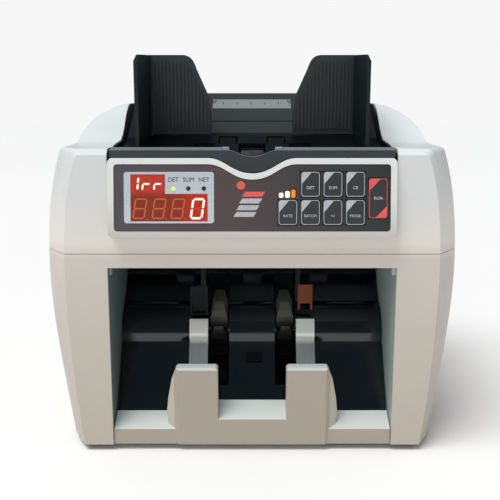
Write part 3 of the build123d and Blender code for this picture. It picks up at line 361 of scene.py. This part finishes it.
# materials of the frame's slots
MATERIALS = {
    # the casing: painted shade by height and painted light on its tops
    "casing_white": pale_casing("casing_white", CASING_PAINTED_SHADE, "Z", (0.0, 0.2), TOP_PAINTED_LIGHT),
    "black_gloss": polished("black_gloss", (0.0008, 0.0016, 0.0024), 0.12),
    "black_satin": moulded("black_satin", (0.020, 0.026, 0.027), 0.42, spread=0.2, specular=0.4),
    "panel_sheet": printed_sheet("panel_sheet", SHEET_TINT),
    "silver_frame": brushed("silver_frame", (0.72, 0.78, 0.83), 0.42, metallic=0.55, even=0.4),
    "red_lens": lens_red(),
    "key_black": printed_sheet("key_black", KEY_TINT),
    "rubber_black": rubbery("rubber_black", (0.006, 0.006, 0.007)),
    "rubber_grey": rubbery("rubber_grey", (0.028, 0.03, 0.034), 0.62),
    "steel": brushed("steel", (0.56, 0.57, 0.60), 0.24),
    "zinc": brushed("zinc", (0.50, 0.52, 0.55), 0.36),
    # painted reflection: the strips turn near white above 66.5 mm high
    "pale_metal": brushed("pale_metal", (0.41, 0.45, 0.44), 0.2, stretch=(16.0, 1.0, 1.0),
                          metallic=0.3, even=0.4, drift=("Z", 0.0640, 0.0665, (0.98, 0.97, 0.92))),
    "circuit_green": board_green(),
    "amber_board": moulded("amber_board", (0.18, 0.046, 0.013), 0.4, spread=0.15, specular=0.2),
    "lamp_lens": moulded("lamp_lens", (0.035, 0.037, 0.045), 0.25, depth=0.1),
    "belt": rubbery("belt", (0.02, 0.02, 0.022), 0.65),
    "lamp_tube": tube_violet(),
    "winding": brushed("winding", (0.10, 0.035, 0.012), 0.35, metallic=0.8),
    "domes": rubbery("domes", (0.42, 0.42, 0.41), 0.5),
    "inner_light": moulded("inner_light", (0.38, 0.40, 0.42), 0.4, spread=0.08),
}
# painted light: the guides turn lighter along their Y axis, towards the back
GUIDE_BLACK = moulded("guide_black", (0.008, 0.013, 0.015), 0.42, spread=0.2, specular=0.4,
                      drift=("Y", -0.040, -0.034, (0.038, 0.047, 0.048)))
# materials of single nodes, in place of their slots' ones
OWN_MATERIALS = {
    # painted light: the bay's walls turn lighter from left to right, where the lamp from the left falls on them
    "bay_liner": moulded("bay_wall", (0.155, 0.205, 0.20), 0.5, spread=0.2, specular=0.3,
                         drift=("X", -0.06, 0.06, (0.40, 0.48, 0.46))),
    # the bezel: painted shade by height and painted light on its tops
    "panel_bezel": pale_casing("bezel_white", BEZEL_PAINTED_SHADE, "Z", (0.157, 0.212), TOP_PAINTED_LIGHT),
    # painted shadow: the lip darkens lower down in its notch; painted highlight: its upward faces are lighter
    "hopper_lip": moulded("lip_dark", (0.037, 0.045, 0.053), 0.36, spread=0.2, specular=0.35,
                          drift=("Z", 0.2120, 0.2070, (0.034, 0.036, 0.041)),
                          top=(0.19, 0.21, 0.22)),
    "hopper_back": moulded("back_dark", (0.045, 0.052, 0.051), 0.5, spread=0.2, specular=0.25),
    "hopper_tray": moulded("tray_black", (0.004, 0.005, 0.007), 0.42, spread=0.3, specular=0.25),
    "guide_left": GUIDE_BLACK,
    "guide_right": GUIDE_BLACK,
    # painted light and shade: the wheels are lighter at their top fins and darker below, painted at rest so it
    # turns with them
    "impeller_wheels": moulded("wheel_black", (0.070, 0.073, 0.066), 0.4, spread=0.2, specular=0.4,
                               drift=("Z", 0.084, 0.074, (0.012, 0.012, 0.012))),
    "note_sensors": moulded("sensor_dark", (0.003, 0.004, 0.005), 0.4, spread=0.2, specular=0.2),
    # the tray: painted shade on its front faces and painted light on its tops
    "stacker_tray": pale_casing("tray_white", TRAY_PAINTED_SHADE, "Y", (-0.117, -0.107),
                                (0.64, 0.685, 0.665)),
}
INK_GREY = ink("ink_grey", (0.42, 0.45, 0.47))
INK_PALE = ink("ink_pale", (0.50, 0.54, 0.56))
INK_RED = ink("ink_red", (0.72, 0.10, 0.09))
INK_DARK = ink("ink_dark", (0.05, 0.055, 0.065))


def paint_frame():
    """Give every CAD node its own material, or the detailed one of its slot."""
    for part in frame["record"]["subparts"]:
        material = OWN_MATERIALS.get(part["node"]) or MATERIALS[part["material_slot"]]
        node = NODES[part["node"]]
        node.data.materials.clear()
        node.data.materials.append(material)


# ---- building blocks of the pieces ----
# how far printing stands out, in mm
INK_LIFT = 0.12
SEGMENT_LIFT = 0.08
# faces round a turned piece
TURN_STEPS = 28


def add_piece(name, mesh, materials, body):
    """Turn a bmesh into a named piece that rides on a body."""
    data = bpy.data.meshes.new(name)
    mesh.to_mesh(data)
    mesh.free()
    for material in materials:
        data.materials.append(material)
    piece = bpy.data.objects.new(name, data)
    bpy.context.scene.collection.objects.link(piece)
    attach(piece, body)
    return piece


def flat_piece(name, polygons, materials, body, lift=INK_LIFT):
    """One mesh of thin raised polygons; each is (matrix, points, material index), all in mm."""
    mesh = bmesh.new()
    for matrix, points, index in polygons:
        low = [mesh.verts.new(matrix @ Vector((x * MM, y * MM, 0))) for x, y in points]
        high = [mesh.verts.new(matrix @ Vector((x * MM, y * MM, lift * MM))) for x, y in points]
        faces = [mesh.faces.new(high), mesh.faces.new(list(reversed(low)))]
        for i in range(len(points)):
            j = (i + 1) % len(points)
            faces.append(mesh.faces.new((low[i], low[j], high[j], high[i])))
        for face in faces:
            face.material_index = index
    return add_piece(name, mesh, materials, body)


def turned(name, profile, matrix, material, body):
    """Closed solid turned round the matrix's own z axis from (radius, height) points in mm."""
    mesh = bmesh.new()
    rings = []
    for radius, height in profile:
        ring = []
        for step in range(TURN_STEPS):
            angle = 2 * math.pi * step / TURN_STEPS
            ring.append(mesh.verts.new(matrix @ Vector(
                (radius * MM * math.cos(angle), radius * MM * math.sin(angle), height * MM))))
        rings.append(ring)
    for low, high in zip(rings, rings[1:]):
        for i in range(TURN_STEPS):
            j = (i + 1) % TURN_STEPS
            mesh.faces.new((low[i], low[j], high[j], high[i])).smooth = True
    mesh.faces.new(list(reversed(rings[0])))
    mesh.faces.new(rings[-1])
    return add_piece(name, mesh, [material], body)


def block(mesh, low, high, soften):
    """Add a box between two corners, in mm, with softened edges."""
    made = bmesh.ops.create_cube(mesh, size=1.0)["verts"]
    for vert in made:
        corner = [a + (b - a) * (part + 0.5) for a, b, part in zip(low, high, vert.co)]
        vert.co = Vector(corner) * MM
    edges = list({edge for vert in made for edge in vert.link_edges})
    bmesh.ops.bevel(mesh, geom=edges, offset=soften * MM, segments=2, affect="EDGES", profile=0.5)


def oblong(x, y, wide, high):
    """Corners of a rectangle from its lower left one, counter-clockwise."""
    return [(x, y), (x + wide, y), (x + wide, y + high), (x, y + high)]


def rounded(wide, high, radius, steps=5, x=0.0, y=0.0):
    """Points of a rounded rectangle round (x, y), counter-clockwise."""
    points = []
    for cx, cy, start in ((1, 1, 0), (-1, 1, 90), (-1, -1, 180), (1, -1, 270)):
        for step in range(steps + 1):
            angle = math.radians(start + 90 * step / steps)
            points.append((x + cx * (wide / 2 - radius) + radius * math.cos(angle),
                           y + cy * (high / 2 - radius) + radius * math.sin(angle)))
    return points


def ring_polygons(matrix, outer, inner, index):
    """Quads between two outlines with the same number of points."""
    quads = []
    for i in range(len(outer)):
        j = (i + 1) % len(outer)
        quads.append((matrix, [outer[i], outer[j], inner[j], inner[i]], index))
    return quads


def text_polygons(matrix, words, size, index, x, y, wide=1.0):
    """A short generic word as filled polygons, centred on (x, y)."""
    curve = bpy.data.curves.new("words", "FONT")
    curve.body = words
    curve.size = size
    curve.align_x = "CENTER"
    curve.align_y = "CENTER"
    curve.resolution_u = 3
    holder = bpy.data.objects.new("words", curve)
    bpy.context.scene.collection.objects.link(holder)
    bpy.context.view_layer.update()
    mesh = holder.to_mesh()
    polygons = []
    for face in mesh.polygons:
        places = [mesh.vertices[i].co for i in face.vertices]
        polygons.append((matrix, [(co.x * wide + x, co.y + y) for co in places], index))
    holder.to_mesh_clear()
    bpy.data.objects.remove(holder)
    bpy.data.curves.remove(curve)
    return polygons


# ---- the panel: keys, digits, lamps and printing, in mm ----
# how far each surface lies out of the bezel's plane
KEY_FACE = -0.15
LENS_FACE = -0.28
FRAME_FACE = -0.1
SHEET_FACE = -0.58

KEY_LABELS = {
    "key_detect": "DET", "key_add": "SUM", "key_clear": "CE", "key_speed": "RATE",
    "key_preset": "BATCH", "key_plus_one": "+1", "key_auto": "MODE", "key_start": "RUN",
}
# the key's outline: inset and corner radius of its outer and inner edge
OUTLINE_OUTER = (0.9, 1.9)
OUTLINE_INNER = (1.7, 1.5)
CORNER_INSET = 0.85
# how far the corner triangle reaches across and down
CORNER_REACH = (6.4, 7.6)
START_CORNER_REACH = (7.4, 7.4)
# points that round off the triangle's own corner
CORNER_CUT = ((1.0, 0.0), (0.3, -0.3), (0.0, -1.0))
LABEL_SIZE, LONG_LABEL_SIZE = 2.9, 2.6
LONGEST_SHORT_LABEL = 3
LABEL_DROP = 2.4


def key_place(name):
    """Middle of a key across and up the panel, with its width and height."""
    low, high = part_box(name)
    middle = (low + high) / 2
    up = (middle - PANEL_FOOT).dot(PANEL_UP) / MM
    tall = (high.z - low.z) / MM / PANEL_UP.z
    return middle.x / MM, up, (high.x - low.x) / MM, tall


def key_print(name):
    """Outline, corner triangle and label on one key; the start key has two triangles."""
    x, s, wide, high = key_place(name)
    matrix = panel_matrix(x, s, KEY_FACE)
    start = name == "key_start"
    outer, inner = (rounded(wide - inset, high - inset, radius)
                    for inset, radius in (OUTLINE_OUTER, OUTLINE_INNER))
    polygons = ring_polygons(matrix, outer, inner, 0)
    left, top = -wide / 2 + CORNER_INSET, high / 2 - CORNER_INSET
    reach, drop = START_CORNER_REACH if start else CORNER_REACH
    corner = [(left, top - drop), (left + reach, top)]
    corner += [(left + across, top + up) for across, up in CORNER_CUT]
    polygons.append((matrix, corner, 0))
    if start:
        polygons.append((matrix, [(-px, -py) for px, py in corner], 0))
    label = KEY_LABELS[name]
    size = LABEL_SIZE if len(label) <= LONGEST_SHORT_LABEL else LONG_LABEL_SIZE
    polygons += text_polygons(matrix, label, size, 1, 0, 0 if start else -LABEL_DROP)
    line = INK_RED if start else INK_GREY
    flat_piece(name + "_print", polygons, [line, INK_PALE], name + "_body")


# ends of the seven segments, in digit widths and half heights
SEGMENTS = {
    "a": ((0, 2), (1, 2)), "b": ((1, 2), (1, 1)), "c": ((1, 1), (1, 0)), "d": ((0, 0), (1, 0)),
    "e": ((0, 1), (0, 0)), "f": ((0, 2), (0, 1)), "g": ((0, 1), (1, 1)),
}
# each segment's shoulders and tips stand back from its ends by these parts of its thickness
SHOULDER, TIP = 0.62, 0.18
LIT, DIM, FAINT = range(3)
# x, y, width, height, lit segments, thickness, slant, material of the other segments
DIGITS = (
    (-81.0, 32.6, 4.2, 8.4, "bc", 1.35, 0.10, None),
    (-73.5, 32.4, 4.8, 8.4, "eg", 1.15, 0.10, FAINT),
    (-65.7, 32.4, 4.8, 8.4, "eg", 1.15, 0.10, FAINT),
    (-79.8, 13.7, 7.4, 12.8, "", 0.9, 0.15, DIM),
    (-67.0, 13.7, 7.4, 12.8, "", 0.9, 0.15, DIM),
    (-54.4, 13.7, 7.4, 12.8, "", 0.9, 0.15, DIM),
    (-41.2, 13.7, 7.2, 12.8, "abcdef", 1.45, 0.15, FAINT),
)
POINT_PLACES = (-70.4, -57.6, -45.0, -31.6)
POINT_LINE = 13.2
POINT_SIZE, POINT_RADIUS = 0.9, 0.42


def digit_polygons(matrix, x, y, wide, high, lit, thick, slant, unlit):
    """Seven slanted segments of one digit; those not lit are dim, or left out for None."""
    polygons = []
    for key, (start, end) in SEGMENTS.items():
        a = Vector((start[0] * wide, start[1] * high / 2))
        b = Vector((end[0] * wide, end[1] * high / 2))
        along = (b - a).normalized()
        side = Vector((-along.y, along.x)) * thick / 2
        gap = along * (thick * SHOULDER)
        tip = along * (thick * TIP)
        outline = (a + tip, a + gap - side, b - gap - side, b - tip, b - gap + side, a + gap + side)
        points = [(x + p.x + slant * p.y, y + p.y) for p in outline]
        index = LIT if key in lit else unlit
        if index is not None:
            polygons.append((matrix, points, index))
    return polygons


def display_digits():
    """Lit and dim segments of both number rows, and the dim decimal points."""
    lit = glowing("segment_lit", (0.9, 0.5, 0.45), (1.0, 0.62, 0.50), 1.15)
    dim = glowing("segment_dim", (0.10, 0.03, 0.02), (0.46, 0.10, 0.05), 1.0)
    faint = glowing("segment_faint", (0.10, 0.02, 0.01), (0.42, 0.035, 0.02), 1.0)
    matrix = panel_matrix(0, 0, LENS_FACE)
    polygons = []
    for digit in DIGITS:
        polygons += digit_polygons(matrix, *digit)
    for x in POINT_PLACES:
        point = rounded(POINT_SIZE, POINT_SIZE, POINT_RADIUS, 3, x, POINT_LINE)
        polygons.append((matrix, point, DIM))
    flat_piece("display_digits", polygons, [lit, dim, faint], "casing", SEGMENT_LIFT)


# mode lamps: places, then radius, root, rim and rise of their domes
LAMP_PLACES = (("lamp_one", -52.8), ("lamp_two", -42.7), ("lamp_three", -32.3))
LAMP_LINE = 33.5
LAMP_RADIUS, LAMP_ROOT, LAMP_RIM, LAMP_RISE = 1.3, -4.0, -0.3, 1.2
DOME_ANGLES = (15, 35, 55, 72, 84)
# speed bars: x, width, height, material index
SPEED_BARS = ((19.4, 2.8, 3.2, 0), (23.6, 2.8, 4.3, 0), (27.6, 2.5, 5.3, 1))
BAR_FOOT = 27.5
BAR_ROOT, BAR_DEPTH = -4.1, 3.62
BAR_RADIUS = 0.7


def panel_lamps():
    """Domed mode lamps and the rising speed lamps, in place of the frame's plain ones."""
    green = glowing("lamp_green", (0.25, 0.3, 0.1), (0.66, 0.95, 0.16), 1.3)
    dark = moulded("lamp_dark", (0.022, 0.025, 0.04), 0.3)
    orange = glowing("lamp_orange", (0.3, 0.1, 0.03), (0.95, 0.20, 0.02), 1.0)
    hot = glowing("lamp_hot", (0.5, 0.4, 0.35), (1.0, 0.72, 0.60), 1.3)
    dome = [(LAMP_RADIUS, LAMP_ROOT), (LAMP_RADIUS, LAMP_RIM)]
    for angle in map(math.radians, DOME_ANGLES):
        dome.append((LAMP_RADIUS * math.cos(angle), LAMP_RIM + LAMP_RISE * math.sin(angle)))
    pieces = []
    for (name, x), material in zip(LAMP_PLACES, (green, dark, dark)):
        pieces.append(turned(name, dome, panel_matrix(x, LAMP_LINE), material, "casing"))
    deep = panel_matrix(0, 0, BAR_ROOT)
    bars = [(deep, rounded(wide, high, BAR_RADIUS, 4, x, BAR_FOOT + high / 2), index)
            for x, wide, high, index in SPEED_BARS]
    pieces.append(flat_piece("speed_bars", bars, [hot, orange], "casing", BAR_DEPTH))
    for piece in pieces:
        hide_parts("panel_lamps")


LAMP_LABELS = ((-52.8, "DET"), (-42.6, "SUM"), (-32.2, "NET"))
LAMP_LABEL_LINE, LAMP_LABEL_SIZE, LAMP_LABEL_WIDE = 39.3, 4.3, 0.92
# pictogram: four slanted bars, each one step up and across, under a disc
BAR_START, BAR_STEP = (-12.6, 14.6), (1.9, 4.5)
BAR_WIDE, BAR_HIGH, BAR_SLANT = 13.4, 3.3, 2.2
DISC_PLACE, DISC_SIZE, DISC_RADIUS = (-7.6, 35.6), 5.6, 2.79


def panel_print():
    """Lamp labels on the frame and a generic stack pictogram on the sheet."""
    polygons = []
    frame_face = panel_matrix(0, 0, FRAME_FACE)
    for x, word in LAMP_LABELS:
        polygons += text_polygons(frame_face, word, LAMP_LABEL_SIZE, 0, x, LAMP_LABEL_LINE,
                                  LAMP_LABEL_WIDE)
    sheet = panel_matrix(0, 0, SHEET_FACE)
    for index in range(4):
        x, y = (start + step * index for start, step in zip(BAR_START, BAR_STEP))
        bar = [(x, y), (x + BAR_WIDE, y), (x + BAR_WIDE + BAR_SLANT, y + BAR_HIGH),
               (x + BAR_SLANT, y + BAR_HIGH)]
        polygons.append((sheet, bar, 2 if index == 3 else 1))
    polygons.append((sheet, rounded(DISC_SIZE, DISC_SIZE, DISC_RADIUS, 8, *DISC_PLACE), 2))
    flat_piece("panel_print", polygons, [INK_DARK, INK_GREY, INK_RED], "casing")


# ---- the hopper: scale strip and pegs, in mm ----
# the strip's origin behind and above the hopper back's lowest corner, and the back's slope
STRIP_BEHIND, STRIP_ABOVE, STRIP_SLOPE = 27.6, 39.2, 40.0
STRIP_WIDE, STRIP_HIGH, STRIP_RADIUS, STRIP_DROP = 64.0, 11.0, 0.5, -1.7
TICK_PLACES = (-23.3, -12.0, -0.7, 10.6, 21.9)
TICK_LOW, TICK_WIDE, TICK_HIGH = -2.6, 0.56, 3.0
# three short dashes at each end: first place, step outward and down, size
DASH_X, DASH_Y, DASH_OUT, DASH_DOWN = 30.2, 2.0, 0.6, 1.5
DASH_WIDE, DASH_HIGH = 3.2, 0.6


def scale_strip():
    """Grey strip with plain ticks on the hopper's back."""
    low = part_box("hopper_back")[0]
    strip_grey = brushed("strip_grey", (0.30, 0.345, 0.335), 0.42, metallic=0.2, even=0.5)
    matrix = (Matrix.Translation((0, low.y + STRIP_BEHIND * MM, low.z + STRIP_ABOVE * MM))
              @ Matrix.Rotation(math.radians(STRIP_SLOPE), 4, "X"))
    polygons = [(matrix, rounded(STRIP_WIDE, STRIP_HIGH, STRIP_RADIUS, 2, 0, STRIP_DROP), 0)]
    above = matrix @ Matrix.Translation((0, 0, (INK_LIFT + 0.01) * MM))
    for x in TICK_PLACES:
        tick = oblong(x - TICK_WIDE / 2, TICK_LOW, TICK_WIDE, TICK_HIGH)
        polygons.append((above, tick, 1))
    for side in (-1, 1):
        for index in range(3):
            x = side * (DASH_X + DASH_OUT * index)
            y = DASH_Y - DASH_DOWN * index
            dash = oblong(x - DASH_WIDE / 2, y, DASH_WIDE, DASH_HIGH)
            polygons.append((above, dash, 1))
    flat_piece("scale_strip", polygons, [strip_grey, INK_DARK], "casing")


# both blocks of a peg, measured from the middle, the lip's rear and its top: x, y, z, softening
PEG_BLOCKS = (
    ((15.4, 20.5), (-2.8, -0.1), (-4.0, 0.3), 0.5),
    ((17.6, 20.5), (-4.6, -2.6), (-6.0, -2.2), 0.4),
)


def lip_ears():
    """Two pale guide pegs on the walls of the notch in the lip."""
    low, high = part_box("hopper_lip")
    rear, top = high.y / MM, high.z / MM
    mesh = bmesh.new()
    for side in (-1, 1):
        for across, back, up, soften in PEG_BLOCKS:
            x0, x1 = sorted(side * x for x in across)
            block(mesh, (x0, rear + back[0], top + up[0]), (x1, rear + back[1], top + up[1]),
                  soften)
    ear_grey = moulded("ear_grey", (0.34, 0.37, 0.40), 0.4, spread=0.12)
    return add_piece("lip_ears", mesh, [ear_grey], "casing")


# ---- stage, in metres ----
FLOOR_SIZE = 12
WORLD_COLOUR, WORLD_STRENGTH = grey(1.0), 0.42
BACKDROP_COLOUR = grey(0.93)
MIRRORED_COLOUR = (0.085, 0.115, 0.14)
# name, kind, place, aim, angle or width, power
LIGHTS = (
    ("key", "SUN", (-0.42, -0.36, 1.15), (0, 0, 0), math.radians(38), 2.35),
    ("front", "AREA", (-0.35, -1.5, 0.6), (0, 0, 0.14), 0.9, 2.7),
)
CAMERA_PLACE = (-0.0015, -0.6385, 0.252)
CAMERA_DOWN = 11.3
CAMERA_LENS = 56.16


def studio_world():
    """Even white surroundings, seen as a pale backdrop and mirrored as a dark room."""
    world = bpy.data.worlds.new("studio")
    world.use_nodes = True
    nodes, links = world.node_tree.nodes, world.node_tree.links
    around = nodes["Background"]
    around.inputs["Color"].default_value = (*WORLD_COLOUR, 1)
    around.inputs["Strength"].default_value = WORLD_STRENGTH
    rays = nodes.new("ShaderNodeLightPath")
    shown = around
    for kind, colour in (("Is Glossy Ray", MIRRORED_COLOUR), ("Is Camera Ray", BACKDROP_COLOUR)):
        other = nodes.new("ShaderNodeBackground")
        other.inputs["Color"].default_value = (*colour, 1)
        mix = nodes.new("ShaderNodeMixShader")
        links.new(rays.outputs[kind], mix.inputs["Fac"])
        links.new(shown.outputs[0], mix.inputs[1])
        links.new(other.outputs[0], mix.inputs[2])
        shown = mix
    links.new(shown.outputs[0], nodes["World Output"].inputs["Surface"])
    bpy.context.scene.world = world


def pale_floor():
    """Large matt floor."""
    bpy.ops.mesh.primitive_plane_add(size=FLOOR_SIZE)
    floor = bpy.context.object
    floor.name = "floor"
    shade = Shade("floor_pale").set(Roughness=0.9)
    shade.colour(shade.fade(shade.noise(0.7, 2.0), grey(0.90), grey(0.93)))
    floor.data.materials.append(shade.material)


def soft_lights():
    """The studio's lights, which the glossy parts don't mirror."""
    for name, kind, place, aim, size, power in LIGHTS:
        light = bpy.data.lights.new(name, kind)
        light.energy = power
        if kind == "SUN":
            light.angle = size
        else:
            light.size = size
        lamp = bpy.data.objects.new(name, light)
        lamp.location = place
        lamp.rotation_euler = (Vector(aim) - Vector(place)).to_track_quat("-Z", "Y").to_euler()
        lamp.visible_glossy = False
        bpy.context.scene.collection.objects.link(lamp)


def front_camera():
    """The camera, level across and looking a little down."""
    camera = bpy.data.cameras.new("camera")
    camera.lens = CAMERA_LENS
    holder = bpy.data.objects.new("camera", camera)
    holder.location = CAMERA_PLACE
    holder.rotation_euler = (math.radians(90 - CAMERA_DOWN), 0, 0)
    bpy.context.scene.collection.objects.link(holder)
    bpy.context.scene.camera = holder
    bpy.context.scene.view_settings.view_transform = "Standard"


pale_floor()
studio_world()
soft_lights()
front_camera()
paint_frame()
for key in KEY_LABELS:
    key_print(key)
display_digits()
panel_lamps()
panel_print()
scale_strip()
lip_ears()
